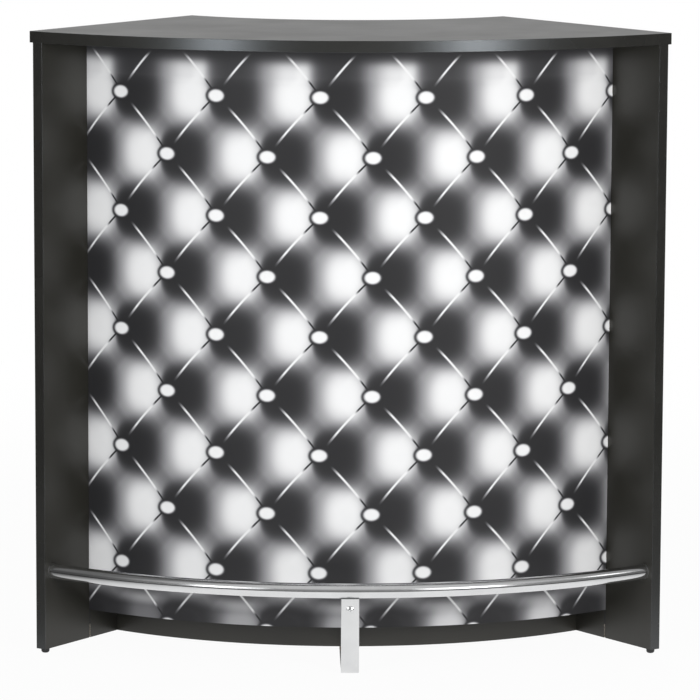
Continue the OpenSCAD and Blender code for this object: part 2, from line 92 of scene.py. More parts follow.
class Graph:
    """The node tree of a material or of the world, with short calls for the nodes that it needs.
    Where a call takes a value, it may be a number or another node's socket."""

    def __init__(self, name, world_tree=None):
        if world_tree is None:
            self.material = bpy.data.materials.new(name)
            self.material.use_nodes = True
        self.tree = world_tree or self.material.node_tree
        self.tree.nodes.clear()
        self.output = self.tree.nodes.new(
            "ShaderNodeOutputWorld" if world_tree else "ShaderNodeOutputMaterial")

    def node(self, kind, **settings):
        made = self.tree.nodes.new(kind)
        for name, value in settings.items():
            setattr(made, name, value)
        return made

    def feed(self, socket, value):
        """Links a socket to a value's socket, or sets a constant."""
        if isinstance(value, bpy.types.NodeSocket):
            self.tree.links.new(value, socket)
        else:
            socket.default_value = value

    def math(self, operation, *values):
        made = self.node("ShaderNodeMath", operation=operation)
        for socket, value in zip(made.inputs, values):
            self.feed(socket, value)
        return made.outputs[0]

    def add(self, a, b):
        return self.math("ADD", a, b)

    def sub(self, a, b):
        return self.math("SUBTRACT", a, b)

    def mul(self, a, b):
        return self.math("MULTIPLY", a, b)

    def lerp(self, a, b, share):
        """a where share is 0, b where it is 1."""
        return self.add(a, self.mul(self.sub(b, a), share))

    def remap(self, value, low, high, to_low, to_high, smooth=False):
        """to_low where the value is at low, to_high where it is at high, and level outside."""
        made = self.node("ShaderNodeMapRange",
                         interpolation_type="SMOOTHSTEP" if smooth else "LINEAR")
        for socket, v in zip(made.inputs, (value, low, high, to_low, to_high)):
            self.feed(socket, v)
        return made.outputs[0]

    def spread(self, noise, low, high):
        """low to high over the usual range of a noise."""
        return self.remap(noise, 0.3, 0.7, low, high)

    def patches(self, noise):
        """0 to 1 over the narrow middle of a noise's range."""
        return self.remap(noise, 0.35, 0.65, 0.0, 1.0)

    def under_skin(self, depth):
        """0 in a board's film or ink, 1 under it."""
        blur = 0.00004
        return self.remap(depth, SKIN_T - blur, SKIN_T + blur, 0.0, 1.0)

    def place(self):
        """The point in the counter's own frame, and its three parts."""
        coords = self.node("ShaderNodeTexCoord").outputs["Object"]
        parts = self.node("ShaderNodeSeparateXYZ")
        self.feed(parts.inputs[0], coords)
        return coords, parts.outputs

    def vector(self, x, y, z):
        made = self.node("ShaderNodeCombineXYZ")
        for socket, value in zip(made.inputs, (x, y, z)):
            self.feed(socket, value)
        return made.outputs[0]

    def scaled(self, vector, x, y, z):
        made = self.node("ShaderNodeVectorMath", operation="MULTIPLY")
        self.feed(made.inputs[0], vector)
        made.inputs[1].default_value = (x, y, z)
        return made.outputs[0]

    def noise(self, vector, scale, detail=2.0, roughness=0.5):
        made = self.node("ShaderNodeTexNoise")
        self.feed(made.inputs["Vector"], vector)
        made.inputs["Scale"].default_value = scale
        made.inputs["Detail"].default_value = detail
        made.inputs["Roughness"].default_value = roughness
        return made.outputs[0]

    def cells(self, vector, scale, output="Distance"):
        made = self.node("ShaderNodeTexVoronoi")
        self.feed(made.inputs["Vector"], vector)
        made.inputs["Scale"].default_value = scale
        return made.outputs[output]

    def blend(self, share, a, b):
        """Colour a where share is 0, colour b where it is 1."""
        made = self.node("ShaderNodeMix", data_type="RGBA")
        self.feed(made.inputs[0], share)
        self.feed(made.inputs[6], a)
        self.feed(made.inputs[7], b)
        return made.outputs[2]

    def ramp(self, value, *stops):
        made = self.node("ShaderNodeValToRGB")
        points = made.color_ramp.elements
        while len(points) < len(stops):
            points.new(0.5)
        for point, (position, colour) in zip(points, stops):
            point.position = position
            point.color = colour
        self.feed(made.inputs[0], value)
        return made.outputs[0]

    def bump(self, height, strength, distance):
        made = self.node("ShaderNodeBump")
        made.inputs["Strength"].default_value = strength
        made.inputs["Distance"].default_value = distance
        self.feed(made.inputs["Height"], height)
        return made.outputs[0]

    def surface(self, **sockets):
        """A Principled shader with these sockets set or linked."""
        shader = self.node("ShaderNodeBsdfPrincipled")
        for name, value in sockets.items():
            self.feed(shader.inputs[name.replace("_", " ")], value)
        self.feed(self.output.inputs["Surface"], shader.outputs[0])
        return self.material

    def shown_or_lit(self, share, lit, shown):
        """One shader for the light on surfaces, another for what is seen, as the output."""
        mix = self.node("ShaderNodeMixShader")
        self.feed(mix.inputs[0], share)
        self.feed(mix.inputs[1], lit.outputs[0])
        self.feed(mix.inputs[2], shown.outputs[0])
        self.feed(self.output.inputs["Surface"], mix.outputs[0])


# Boards

CHARCOAL = rgb(41, 40, 35)
CHARCOAL_LIGHT = rgb(47, 46, 41)
FLAKE_SCALE = 620.0


def chipboard_colour(g, coords):
    """Raw chipboard: pale flakes with darker ones between them."""
    flakes = g.cells(g.scaled(coords, 1.0, 1.0, 1.6), FLAKE_SCALE, output="Color")
    grey = g.node("ShaderNodeRGBToBW")
    g.feed(grey.inputs[0], flakes)
    fine = g.noise(coords, scale=1500.0, detail=3.0, roughness=0.6)
    tone = g.add(g.mul(grey.outputs[0], 0.7), g.mul(fine, 0.3))
    return g.ramp(tone, (0.2, rgb(128, 122, 114)), (0.5, rgb(181, 175, 165)),
                  (0.8, rgb(212, 207, 198)))


def melamine(name, core_depth):
    """Charcoal decor film over chipboard. core_depth(g, parts) tells how deep under the film's
    face a point lies, so that bores and grooves show the chipboard."""
    g = Graph(name)
    coords, parts = g.place()
    cloud = g.noise(coords, scale=9.0, detail=3.0)
    grain = g.noise(coords, scale=900.0, roughness=0.6)
    tone = g.add(g.mul(cloud, 0.7), g.mul(grain, 0.3))
    film = g.blend(g.patches(tone), CHARCOAL, CHARCOAL_LIGHT)
    core = g.under_skin(core_depth(g, parts))
    colour = g.blend(core, film, chipboard_colour(g, coords))
    pearl = g.noise(coords, scale=1400.0)
    height = g.lerp(pearl, g.cells(coords, FLAKE_SCALE), core)
    rough = g.lerp(g.spread(cloud, 0.33, 0.38), 0.9, core)
    return g.surface(Base_Color=colour, Roughness=rough, Specular_IOR_Level=0.5,
                     Normal=g.bump(height, strength=0.12, distance=0.00008))


def depth_in_board(g, off_middle, thickness):
    """Depth under the nearer face of a board, from the distance to the plane in its middle."""
    return g.sub(thickness / 2, g.math("ABSOLUTE", off_middle))


def level_board(z0):
    """Depth in a level board whose lower face is at z0."""
    return lambda g, parts: depth_in_board(g, g.sub(parts["Z"], z0 + BOARD_T / 2), BOARD_T)


def side_board(side):
    """Depth in a side panel."""
    def depth(g, parts):
        across = g.add(g.mul(parts["X"], side * math.cos(HALF_ANGLE)),
                       g.mul(g.sub(parts["Y"], ARC_Y), math.sin(HALF_ANGLE)))
        return depth_in_board(g, g.sub(across, SIDE_T / 2), SIDE_T)
    return depth


def uncut_board(g, parts):
    """No depth anywhere: the plinth has no bore or groove that shows."""
    return g.mul(parts["Z"], 0.0)


def edge_band():
    """Slightly glossy plastic band of the boards' colour."""
    g = Graph("edge_band")
    coords, _ = g.place()
    cloud = g.noise(coords, scale=14.0)
    fine = g.noise(g.scaled(coords, 1.0, 1.0, 0.25), scale=700.0)
    haze = g.noise(coords, scale=60.0)
    colour = g.blend(g.patches(cloud), rgb(42, 41, 38), rgb(47, 46, 43))
    return g.surface(Base_Color=colour, Roughness=g.spread(haze, 0.257, 0.273),
                     Specular_IOR_Level=0.80, Specular_Tint=(0.87, 0.94, 1.0, 1.0),
                     Normal=g.bump(fine, strength=0.02, distance=0.00001))


# The print: a slanted repeat of buttons, soft light and dark areas and creases between the buttons.
# s is the arc length to the right of the panel's middle, z the height, both in metres. The areas'
# places are relative to one button. A fade is given as for remap: where it starts and ends, and the
# shares there. Levels are sRGB.

REPEAT_S = 0.1754
REPEAT_Z = 0.19932
BUTTON_S = -0.0507
BUTTON_Z = 0.54736
TOP_ROW = 2 * REPEAT_Z  # from that button up to the top row
ACROSS = 1 / math.hypot(1 / REPEAT_S, 1 / REPEAT_Z)  # metres across a crease, per share

BASE_LEVEL = 127.0
LIGHT_LEVEL = 252.0
LIGHT_AREA = {"cx": -0.0476, "cz": 0.0007, "half_w": 0.0354, "half_h": 0.0454, "power": 2.29,
              "soft": 0.1545, "soft_right": -0.051, "soft_sides": 0.034}
LIGHT_TOP = 0.020  # from this height over the top row, an area goes straight up
DARK_LEVEL = 48.0
DARK_AREA = {"cx": 0.0298, "cz": 0.0006, "half_w": 0.0415, "half_h": 0.0443, "power": 2.6,
             "soft_sides": -0.0511}
DARK_SOFT = (0.1484, 0.2034)  # up to the top row, and from ABOVE_ROW over it
DARK_SOFT_RIGHT = (0.0553, 0.0053)
DARK_TOP = 0.031
ABOVE_ROW = 0.035

MIN_SOFT = 0.02
BORDER_FADE = (0.41, 0.5, 1.0, 0.0)  # of an area, by the share of the repeat's diamond

# Painted shade of the foot rail: the strip under it is dimmed, more to the left, and dark at the
# far left end.
SHADED_LEVEL = 55.0  # what is lighter than this is dimmed in the strip under the foot rail
SHADED_RANGE = 190
SHADED_POWER = 1.8
SHADED_Z = (0.075, 0.095, 1.0, 0.0)  # one fade by height, and three by arc length
SHADED_S = ((0.02, 0.18, 0.58, 0.83), (-0.34, -0.26, 0.6, 1.0), (-0.43, -0.37, 0.0, 1.0))

EDGE_LEVEL = 58.0
EDGE_Z, EDGE_SOFT = 1.0040, 0.0045
CREASE_END_Z, CREASE_END_SOFT = 1.0105, 0.0022

CREASE_DARK_LEVEL, CREASE_DARK_HALF_W = 50.0, 0.0014
CREASE_LIGHT_LEVEL, CREASE_LIGHT_HALF_W = 250.0, 0.00185
CREASE_FADE = (0.3, 1.7)  # the shares of the half width where a line is at full and at none
BOW_BASE = 0.0012  # from the straight line between the two buttons up to a crease's ends
BOW = 0.0030  # and from these up to its middle
# Rising to the right or not, and where the light and the dark line each fade in and out
CREASES = (
    (False, ((0.18, 0.37), (0.68, 0.76)), ((0.72, 0.80), (0.97, 1.0))),
    (True, ((0.24, 0.34), (0.62, 0.86)), ((0.0, 0.04), (0.22, 0.32))))

RIM_LEVEL = 46.0
RIM = {"cx": -0.0003, "cz": 0.0003, "half_w": 0.0181, "half_h": 0.0146, "soft": 0.045}
BUTTON_LEVEL = 253.0
BUTTON = {"cx": -0.0005, "cz": 0.0005, "half_w": 0.0136, "half_h": 0.0103, "soft": 0.07}
INK_LEAN = (-0.02, -0.03, 0.055)  # how much the greys lean to red, green and blue
INK_GAMMA = 2.2


class Print:
    """Draws the print's forms, each 1 on the form and 0 off it."""

    def __init__(self, graph, arc_length, height):
        self.g = graph
        self.s = graph.sub(arc_length, BUTTON_S)
        self.z = graph.sub(height, BUTTON_Z)

    def folded(self, cx, cz, z=None):
        """The place in the repeat's diamond about (cx, cz), as its two slanted shares."""
        g = self.g
        u = g.mul(g.sub(self.s, cx), 1 / REPEAT_S)
        v = g.mul(g.sub(self.z if z is None else z, cz), 1 / REPEAT_Z)
        return [g.math("WRAP", h, 0.5, -0.5) for h in (g.add(u, v), g.sub(u, v))]

    def blob(self, cx, cz, half_w, half_h, soft, power=2.0, soft_right=0.0, soft_sides=0.0,
             z=None):
        """A rounded shape about (cx, cz) of the repeat with a soft rim, which fades out before
        the diamond's border. It is an ellipse where the power is 2, and squarer above that. The
        rim gets softer by soft_right towards the right, and by soft_sides towards both sides."""
        g = self.g
        a, b = self.folded(cx, cz, z)
        x = g.mul(g.add(a, b), REPEAT_S / 2 / half_w)
        y = g.mul(g.sub(a, b), REPEAT_Z / 2 / half_h)
        far = g.add(*(g.math("POWER", g.math("ABSOLUTE", v), power) for v in (x, y)))
        far = g.math("POWER", far, 1 / power)
        rim = g.add(g.mul(x, g.add(g.mul(x, soft_sides), soft_right)), soft)
        border = g.math("MAXIMUM", g.math("ABSOLUTE", a), g.math("ABSOLUTE", b))
        return g.mul(self.logistic(g.sub(1.0, far), g.math("MAXIMUM", rim, MIN_SOFT)),
                     g.remap(border, *BORDER_FADE, smooth=True))

    def logistic(self, value, soft):
        """1 well above 0, a half at 0, and 0 well below it."""
        g = self.g
        power = g.math("DIVIDE", g.mul(value, -1.0), soft)
        return g.math("DIVIDE", 1.0, g.add(1.0, g.math("EXPONENT", power)))

    def crease(self, rising, rise, fall, half_w):
        """A slanted line between two buttons, which bows upwards. Shares of its length count from
        the upper button: it fades in over rise and out over fall."""
        g = self.g
        a, b = self.folded(REPEAT_S / 4 * (1 if rising else -1), REPEAT_Z / 4)
        along, across = (a, b) if rising else (b, a)
        t = g.sub(0.5, along) if rising else g.add(0.5, along)
        bow = g.add(g.mul(g.math("SINE", g.mul(t, math.pi)), BOW), BOW_BASE)
        away = g.mul(across, -ACROSS if rising else ACROSS)
        away = g.math("ABSOLUTE", g.sub(away, bow))
        full, none = CREASE_FADE
        body = g.remap(away, full * half_w, none * half_w, 1.0, 0.0, smooth=True)
        start = g.remap(t, *rise, 0.0, 1.0, smooth=True)
        end = g.remap(t, *fall, 1.0, 0.0, smooth=True)
        return g.mul(body, g.mul(start, end))


def painted_shade_under_rail(g, level, arc_length, height):
    """The level with painted shade of the foot rail: dimmed unevenly from left to right under it.
    """
    faded = g.remap(height, *SHADED_Z, smooth=True)
    light = g.math("MAXIMUM", g.sub(level, SHADED_LEVEL), 0.0)
    dimmed = g.mul(g.math("POWER", light, SHADED_POWER), SHADED_RANGE ** (1 - SHADED_POWER))
    for fade in SHADED_S:
        dimmed = g.mul(dimmed, g.remap(arc_length, *fade, smooth=True))
    return g.lerp(level, g.add(dimmed, g.sub(level, light)), faded)


def print_level(g, arc_length, height):
    """The print as sRGB levels, with painted shade under the foot rail. Above the top row of
    buttons the light and dark areas run straight up into a dark edge."""
    art = Print(g, arc_length, height)
    light_z = g.math("MINIMUM", art.z, TOP_ROW + LIGHT_TOP)
    dark_z = g.math("MINIMUM", art.z, TOP_ROW + DARK_TOP)
    above = g.remap(art.z, TOP_ROW, TOP_ROW + ABOVE_ROW, 0.0, 1.0, smooth=True)
    level = g.lerp(BASE_LEVEL, LIGHT_LEVEL, art.blob(**LIGHT_AREA, z=light_z))
    dark = art.blob(**DARK_AREA, soft=g.lerp(*DARK_SOFT, above),
                    soft_right=g.lerp(*DARK_SOFT_RIGHT, above), z=dark_z)
    level = g.lerp(level, DARK_LEVEL, dark)
    # painted shade of the foot rail on the strip under it
    level = painted_shade_under_rail(g, level, arc_length, height)
    level = g.lerp(level, EDGE_LEVEL, art.logistic(g.sub(height, EDGE_Z), EDGE_SOFT))
    below_edge = g.sub(1.0, art.logistic(g.sub(height, CREASE_END_Z), CREASE_END_SOFT))
    for rising, light_ends, dark_ends in CREASES:
        line = art.crease(rising, *dark_ends, CREASE_DARK_HALF_W)
        level = g.lerp(level, CREASE_DARK_LEVEL, g.mul(below_edge, line))
        line = art.crease(rising, *light_ends, CREASE_LIGHT_HALF_W)
        level = g.lerp(level, CREASE_LIGHT_LEVEL, g.mul(below_edge, line))
    level = g.lerp(level, RIM_LEVEL, art.blob(**RIM))
    return g.lerp(level, BUTTON_LEVEL, art.blob(**BUTTON))


def printed_board():
    """The print on the front of thin hardboard."""
    g = Graph("printed_board")
    coords, parts = g.place()
    behind = g.sub(ARC_Y, parts["Y"])
    arc_length = g.mul(g.math("ARCTAN2", parts["X"], behind), PANEL_R)
    share = g.mul(print_level(g, arc_length, parts["Z"]), 1 / 255)
    ink = g.math("POWER", share, INK_GAMMA)
    weak = g.sub(1.0, share)
    front = g.vector(*(g.mul(ink, g.add(1.0, g.mul(weak, lean))) for lean in INK_LEAN))
    reach = g.math("SQRT", g.add(g.mul(parts["X"], parts["X"]), g.mul(behind, behind)))
    bare = g.under_skin(g.sub(PANEL_R, reach))
    fibre = g.noise(g.scaled(coords, 1.0, 1.0, 0.35), scale=480.0, detail=4.0, roughness=0.65)
    hardboard = g.ramp(fibre, (0.3, rgb(94, 66, 44)), (0.7, rgb(130, 96, 66)))
    colour = g.blend(bare, front, hardboard)
    height = g.lerp(g.noise(coords, scale=1100.0), fibre, bare)
    return g.surface(Base_Color=colour, Roughness=g.lerp(0.5, 0.85, bare),
                     Specular_IOR_Level=0.25,
                     Normal=g.bump(height, strength=0.05, distance=0.00005))


# Metal, plastic and wood

def chrome():
    """Polished plating with a faint smear."""
    g = Graph("chrome")
    coords, _ = g.place()
    smear = g.noise(coords, scale=24.0, detail=3.0)
    colour = g.blend(g.patches(smear), (0.70, 0.705, 0.71, 1), (0.75, 0.755, 0.76, 1))
    return g.surface(Base_Color=colour, Metallic=1.0, Roughness=g.spread(smear, 0.12, 0.16))


def zinc():
    """Dull plating of the hidden fittings."""
    g = Graph("zinc")
    coords, _ = g.place()
    spangle = g.cells(coords, scale=900.0)
    haze = g.noise(coords, scale=160.0, detail=3.0)
    colour = g.blend(haze, (0.50, 0.51, 0.52, 1), (0.66, 0.67, 0.68, 1))
    return g.surface(Base_Color=colour, Metallic=1.0, Roughness=g.spread(haze, 0.28, 0.42),
                     Normal=g.bump(spangle, strength=0.1, distance=0.00005))


def plastic(name, dark, light):
    """Moulded plastic with a fine grain."""
    g = Graph(name)
    coords, _ = g.place()
    haze = g.noise(coords, scale=90.0, detail=3.0)
    grain = g.noise(coords, scale=2600.0)
    return g.surface(Base_Color=g.blend(haze, dark, light),
                     Roughness=g.spread(haze, 0.36, 0.5),
                     Normal=g.bump(grain, strength=0.15, distance=0.00005))


def timber(name, dark, light, scale):
    """Raw wood whose grain runs along X."""
    g = Graph(name)
    coords, _ = g.place()
    grain = g.noise(g.scaled(coords, 0.12, 1.0, 1.0), scale, detail=5.0, roughness=0.6)
    pores = g.noise(g.scaled(coords, 0.05, 1.0, 1.0), scale * 6, roughness=0.7)
    tone = g.add(g.mul(grain, 0.7), g.mul(pores, 0.3))
    return g.surface(Base_Color=g.ramp(tone, (0.35, dark), (0.65, light)), Roughness=0.65,
                     Normal=g.bump(tone, strength=0.2, distance=0.0002))


def dress(material, *nodes):
    """Gives these nodes of the frame a material."""
    for name in nodes:
        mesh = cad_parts[name].data
        mesh.materials.clear()
        mesh.materials.append(material)


dress(melamine("melamine_worktop", level_board(UNDER_TOP_Z)), "worktop")
dress(melamine("melamine_left", side_board(-1)), "side_panel_left")
dress(melamine("melamine_right", side_board(1)), "side_panel_right")
for shelf, z in SHELF_Z.items():
    dress(melamine("melamine_" + shelf, level_board(z)), shelf)
dress(melamine("melamine_plinth", uncut_board), "plinth")
dress(edge_band(), "worktop_front_band", "worktop_end_bands", "worktop_rear_band",
      "side_front_bands", "side_rear_bands", "shelf_bands")
dress(printed_board(), "front_panel")
CHROME = chrome()
ZINC = zinc()
dress(CHROME, "foot_rail", "rail_support")
dress(ZINC, "rail_plugs", "glide_nails")
dress(plastic("black_plastic", rgb(26, 26, 27), rgb(34, 34, 35)), "glides", "groove_wedges")
dress(timber("beech", rgb(196, 158, 112), rgb(222, 188, 144), 300.0), "dowels")
dress(timber("softwood", rgb(190, 150, 96), rgb(222, 186, 130), 120.0), "plinth_block")

# Fittings in full detail, each in the place of the plain solid that the frame has for it, and the
# weld bead. Each is made about Z in millimetres, and then put in its places.

MM = 0.001
TO_Y = Matrix.Rotation(-math.pi / 2, 4, "X")  # turns an upward axis to +Y
TO_FRONT = Matrix.Rotation(math.pi / 2, 4, "X")  # to -Y
TO_X = Matrix.Rotation(math.pi / 2, 4, "Y")
HEAD_DOWN = Matrix.Rotation(math.pi, 4, "X")
FLIP_X = Matrix.Diagonal((-1, 1, 1, 1))
# stands a cam lock in the side panel, open upwards
INTO_PANEL = Matrix(((-1, 0, 0, 0), (0, 0, 1, 0), (0, 1, 0, 0), (0, 0, 0, 1)))
SHARP_ANGLE = math.radians(32)
MERGE_DISTANCE = 1e-7  # metres
STEPS_PER_TURN = 8  # of a thread
RECESS_TAPER = 0.5
M6_R, M6_DEPTH, M6_PITCH = 3.0, 0.54, 1.0


def turned(stations, segments=48, pitch=1.0, hollow=False, flats=None):
    """A closed turned body about Z. Stations are (height, radius, thread depth), upwards on the
    outside, and where it is hollow down again on the inside. flats is half of a hexagon's
    width."""
    body = bmesh.new()
    rings = []
    for z, radius, depth in stations:
        ring = []
        for k in range(segments):
            turn = k / segments
            angle = 2 * math.pi * turn
            r = radius - depth * abs(2 * ((z / pitch - turn) % 1) - 1)
            if flats:
                sixth = math.pi / 3
                r = min(r, flats / math.cos(angle % sixth - sixth / 2))
            ring.append(body.verts.new((r * MM * math.cos(angle), r * MM * math.sin(angle),
                                        z * MM)))
        rings.append(ring)
    pairs = list(zip(rings, rings[1:]))
    if hollow:
        pairs.append((rings[-1], rings[0]))
    for low, high in pairs:
        for k in range(segments):
            n = (k + 1) % segments
            body.faces.new((low[k], low[n], high[n], high[k]))
    if not hollow:
        body.faces.new(rings[0][::-1])
        body.faces.new(rings[-1])
    return body


def thread(start, end, radius, depth, pitch, end_radius=None):
    """Stations of a thread, which runs out at both ends and may taper to a point."""
    count = round(abs(end - start) / pitch * STEPS_PER_TURN)
    stations = []
    for k in range(count + 1):
        share = k / count
        z = start + (end - start) * share
        ease = min(1.0, abs(z - start) / pitch, abs(end - z) / pitch)
        r = radius if end_radius is None else radius + (end_radius - radius) * share
        stations.append((z, r, depth * ease))
    return stations


def arc(radius, z, r, start, end):
    """Stations on a quarter or less of a circle about height z and radius r, from one angle in
    degrees to another."""
    steps = 6
    angles = [math.radians(start + (end - start) * k / steps) for k in range(steps + 1)]
    return [(z + radius * math.sin(a), r + radius * math.cos(a), 0) for a in angles]


def wedge(points, z0, z1, share):
    """A closed block on a flat outline, which narrows to this share at z1."""
    block = bmesh.new()
    ends = [[block.verts.new((x * k * MM, y * k * MM, z * MM)) for x, y in points]
            for z, k in ((z0, 1), (z1, share))]
    count = len(points)
    for k in range(count):
        n = (k + 1) % count
        block.faces.new((ends[0][k], ends[0][n], ends[1][n], ends[1][k]))
    block.faces.new(ends[0][::-1])
    block.faces.new(ends[1])
    bmesh.ops.recalc_face_normals(block, faces=block.faces)
    return block


def cross(length, width, top, depth, down=True):
    """The two crossed wings of a screwdriver recess, cut down or up from height top."""
    way = -1 if down else 1
    wings = []
    for a, b in ((length / 2, width / 2), (width / 2, length / 2)):
        outline = [(-a, -b), (a, -b), (a, b), (-a, b)]
        wings.append(wedge(outline, top - way, top + way * depth, RECESS_TAPER))
    return wings


def carved(body, *cutters):
    """The body with the cutters' shapes taken away, as a closed mesh."""
    made = []
    for shape in (body, *cutters):
        mesh = bpy.data.meshes.new("blank")
        shape.to_mesh(mesh)
        shape.free()
        made.append(bpy.data.objects.new("blank", mesh))
        bpy.context.scene.collection.objects.link(made[-1])
    for cutter in made[1:]:
        cut = made[0].modifiers.new("cut", "BOOLEAN")
        cut.object = cutter
        cut.operation = "DIFFERENCE"
        cut.solver = "EXACT"
    result = bmesh.new()
    result.from_object(made[0], bpy.context.evaluated_depsgraph_get())
    for thing in made:
        mesh = thing.data
        bpy.data.objects.remove(thing)
        bpy.data.meshes.remove(mesh)
    bmesh.ops.remove_doubles(result, verts=result.verts, dist=MERGE_DISTANCE)
    bmesh.ops.triangulate(result, faces=result.faces)
    bmesh.ops.dissolve_degenerate(result, dist=MERGE_DISTANCE, edges=result.edges)
    return result


def on_side(side, s, y, z, turn=Matrix()):
    """Where a fitting goes on a side panel: s is forward from the arcs' centre along the inner
    face, y outwards through the panel. The fitting's own left and right have to be alike."""
    place = (Matrix.Translation((0, ARC_Y, 0))
             @ Matrix.Rotation(HALF_ANGLE - math.pi / 2, 4, "Z")
             @ Matrix.Translation((s, y, z)) @ turn)
    return place if side > 0 else FLIP_X @ place @ FLIP_X


def fit(name, body, places, material, node=None):
    """Puts copies of a body in their places as one piece, which may stand for a node."""
    single = bpy.data.meshes.new(name)
    body.to_mesh(single)
    body.free()
    whole = bmesh.new()
    for place in places:
        copy = single.copy()
        copy.transform(place)
        whole.from_mesh(copy)
        bpy.data.meshes.remove(copy)
    for face in whole.faces:
        face.smooth = True
    whole.to_mesh(single)
    whole.free()
    single.set_sharp_from_angle(angle=SHARP_ANGLE)
    single.materials.append(material)
    piece = bpy.data.objects.new(name, single)
    bpy.context.scene.collection.objects.link(piece)
    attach(piece, "root")
    if node:
        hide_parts(node)


def machine_screw():
    """6 mm screw with a low domed head on z = 0 and a cross recess."""
    head_h = 3.6
    dome_r = 12.0
    dome_edge_r = 5.6
    edge_angle = math.degrees(math.asin(dome_edge_r / dome_r))
    dome = [(head_h - dome_r + dome_r * math.cos(math.radians(a)),
             dome_r * math.sin(math.radians(a)), 0) for a in (edge_angle, 20, 14, 8, 3)]
    dome_z = dome[0][0]
    stations = ([(-16, 2.1, 0)] + thread(-15.3, -0.8, M6_R, M6_DEPTH, M6_PITCH)
                + [(0, M6_R, 0)] + arc(0.3, 0.3, 5.7, -90, 0)
                + arc(0.7, dome_z - 0.62, 5.3, 0, 58) + dome)
    recess = cross(length=7.0, width=1.3, top=head_h, depth=2.4)
    return carved(turned(stations, segments=64), *recess)


def hexagon_nut():
    """Nut on the machine screw's axis, behind the two flat bars, with eased corners."""
    low, high = -13.0, -8.0
    half_w = 5.0
    slope = 1.73  # of the eased corners
    eased = [(h, half_w + h * slope) for h in (0.15, 0.3, 0.46)]
    outside = ([(low, half_w, 0)] + [(low + h, r, 0) for h, r in eased]
               + [(high - h, r, 0) for h, r in reversed(eased)] + [(high, half_w, 0)])
    mouth_r, bore_r = 3.5, 3.08
    inside = ([(high, mouth_r, 0)] + thread(high - 0.4, low + 0.4, bore_r, M6_DEPTH, M6_PITCH)
              + [(low, mouth_r, 0)])
    return turned(outside + inside, segments=96, hollow=True, flats=half_w)


def wood_screw(length):
    """Countersunk 4 mm screw that points down from z = 0."""
    radius, depth, pitch = 2.0, 0.65, 1.8
    point = 4.5
    plain = 0.3 * length
    stations = ([(-length, 0.15, 0)]
                + thread(-length + 0.3, -length + point, 0.4, 0.2, pitch, end_radius=radius)
                + thread(-length + point, -plain, radius, depth, pitch)[1:]
                + [(-2.6, 1.9, 0), (-0.35, 3.85, 0), (0, 3.95, 0)])
    recess = cross(length=4.4, width=1.0, top=0, depth=1.8)
    return carved(turned(stations, pitch=pitch), *recess)


def cam_lock():
    """Cam lock whose lower face is on z = 0, open towards +Y for the bolt."""
    radius, groove_r = 7.5, 7.25
    stations = [(0, 6.9, 0), (0.5, radius, 0), (1.6, radius, 0), (1.8, groove_r, 0),
                (2.4, groove_r, 0), (2.6, radius, 0), (11.9, radius, 0), (12.4, 7.0, 0)]
    bolt_axis = Matrix.Translation((0, 0, 9.5 * MM)) @ TO_Y
    pocket = turned([(-3.5, 3.8, 0), (5, 3.8, 0)])
    slot = turned([(0, 3.0, 0), (15, 3.0, 0)])
    for cutter in (pocket, slot):
        cutter.transform(bolt_axis)
    arrow = wedge([(-1.2, 4.7), (1.2, 4.7), (0, 6.5)], -1, 0.4, 1.0)
    recess = cross(length=7.5, width=1.3, top=0, depth=2.0, down=False)
    return carved(turned(stations, segments=64), pocket, slot, arrow, *recess)


def cam_bolt():
    """Cam bolt about Z: its thread starts on z = 0 and its ball is below."""
    ball_r, pitch = 3.5, 2.0
    ball_z = -34
    angles = (-85, -70, -55, -40, -25, -10, 5, 20, 35, 48, 55.2)
    ball = [(ball_z + ball_r * math.sin(math.radians(a)), ball_r * math.cos(math.radians(a)), 0)
            for a in angles]
    stations = (ball + [(-5.6, 2.0, 0), (-5, 2.6, 0), (-4.6, 3.3, 0), (-4.4, 3.5, 0),
                        (-0.3, 3.5, 0), (0, 3.2, 0)]
                + thread(0.01, 10.2, 2.5, 0.55, pitch) + [(11, 1.6, 0)])
    return turned(stations, segments=40, pitch=pitch)


def shelf_pin():
    """Pin about Z: the panel is above z = 0. Its flange is cut flat where the shelf lies."""
    half_l = 8
    radius, flange_r = 2.5, 4
    end = 0.7
    shelf_face = 2.501
    stations = (arc(end, -half_l + end, radius - end, -80, 0)
                + [(-1, radius, 0), (-1, 3.8, 0), (-0.8, flange_r, 0), (0, flange_r, 0),
                   (0, radius, 0)]
                + arc(end, half_l - end, radius - end, 0, 80))
    pin = turned(stations)
    flat = bmesh.ops.bisect_plane(pin, geom=pin.verts[:] + pin.edges[:] + pin.faces[:],
                                  plane_co=(0, -shelf_face * MM, 0), plane_no=(0, -1, 0),
                                  clear_outer=True)
    edges = [e for e in flat["geom_cut"] if isinstance(e, bmesh.types.BMEdge)]
    bmesh.ops.holes_fill(pin, edges=edges, sides=0)
    return pin


def weld_bead():
    """Rippled bead about Z, with round ends."""
    length, radius = 24, 1.35
    end_z = 12.3
    ripple, ripple_l = 0.14, 1.6
    steps = 72
    stations = []
    for k in range(steps + 1):
        z = -length / 2 + length * k / steps
        round_end = math.sqrt(max(0.0, 1 - (z / end_z) ** 8))
        rippled = 1 - ripple * abs(math.sin(math.pi * z / ripple_l))
        stations.append((z, radius * round_end * rippled, 0))
    return turned(stations, segments=24)


